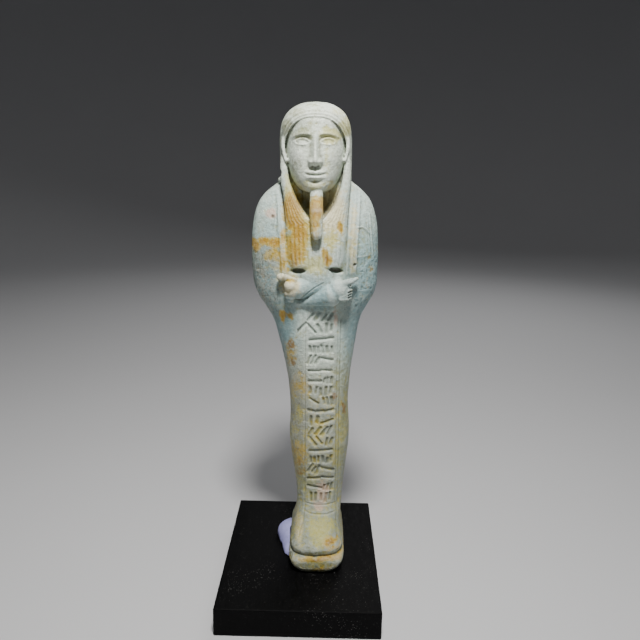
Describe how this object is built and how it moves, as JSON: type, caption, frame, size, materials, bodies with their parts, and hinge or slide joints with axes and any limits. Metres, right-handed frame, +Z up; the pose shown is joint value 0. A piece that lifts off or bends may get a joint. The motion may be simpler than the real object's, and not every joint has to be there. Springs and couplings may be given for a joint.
{
  "type": "ushabti figurine",
  "caption": "Mummiform funerary figurine of pale blue-green faience with long wig, beard, crossed arms and an inscribed front, held by putty on a matt black block.",
  "frame": {"origin": "centre of the display block's underside", "axes": "+Z up, the figure faces -Y, +X is the figure's left"},
  "size_m": [0.052, 0.0666, 0.1609],
  "materials": {
    "faience": "satin",
    "putty": "matte",
    "black_block": "matte"
  },
  "bodies": {
    "root": {"shabti_figure": "faience", "mounting_putty": "putty", "display_block": "black_block"}
  },
  "joints": []
}
